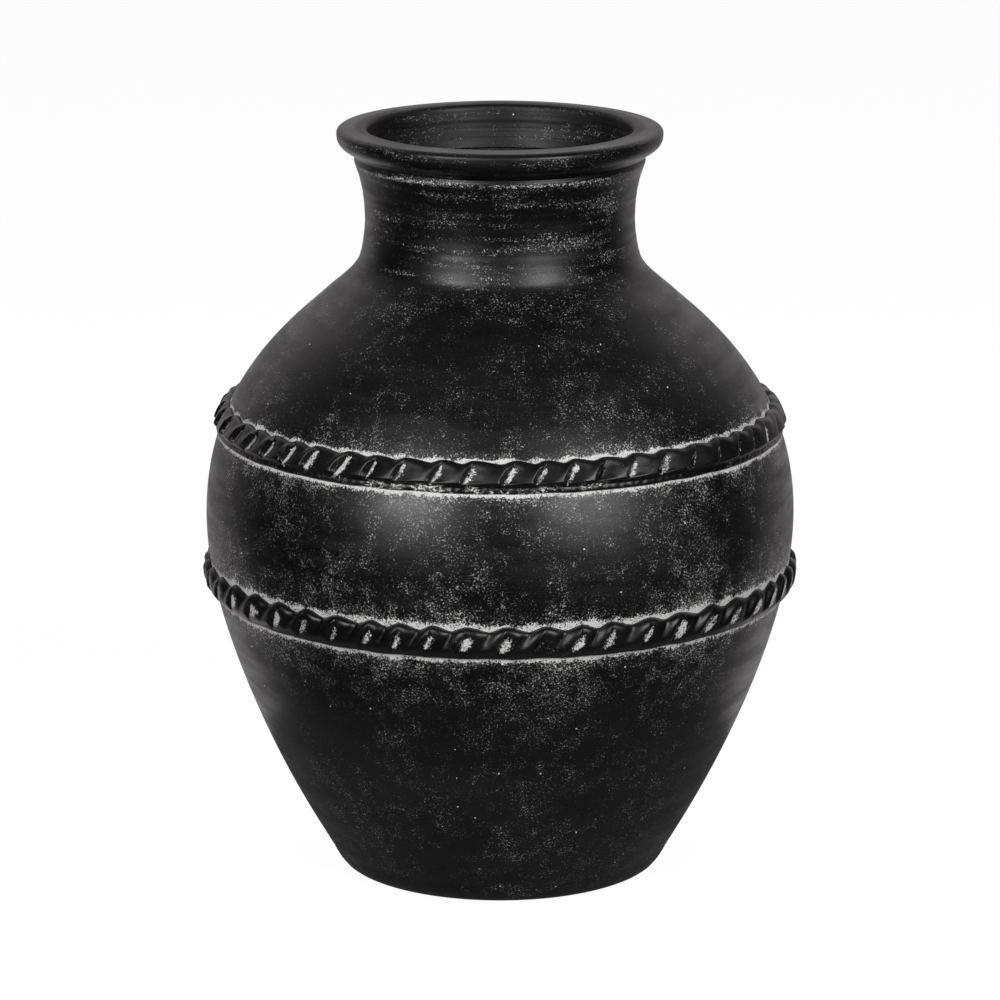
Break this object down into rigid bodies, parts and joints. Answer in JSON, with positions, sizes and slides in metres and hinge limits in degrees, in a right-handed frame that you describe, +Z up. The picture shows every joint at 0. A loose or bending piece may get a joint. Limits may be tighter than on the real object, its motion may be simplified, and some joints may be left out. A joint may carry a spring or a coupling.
{
  "type": "clay jar",
  "caption": "Wide-bellied black clay jar with a short waisted neck, a rolled lip and thumb-pressed rope bands around the belly.",
  "frame": {"origin": "centre of the flat foot, on the surface that the jar stands on", "axes": "+Z up along the jar's axis and out of its mouth; +X and +Y lie in the plane of the foot"},
  "size_m": [0.322, 0.322, 0.406],
  "materials": {
    "black_clay": "satin black clay with a thin pale wash rubbed into its pores",
    "rope_clay": "satin black clay, thumb-pressed, with pale wash left in the bottom of each mark"
  },
  "bodies": {
    "root": {"base_disc": "black_clay", "lower_wall": "black_clay", "belly_wall": "black_clay", "shoulder_wall": "black_clay", "neck_collar": "black_clay", "rolled_lip": "black_clay", "lower_rope_band": "rope_clay", "upper_rope_band": "rope_clay"}
  },
  "joints": []
}
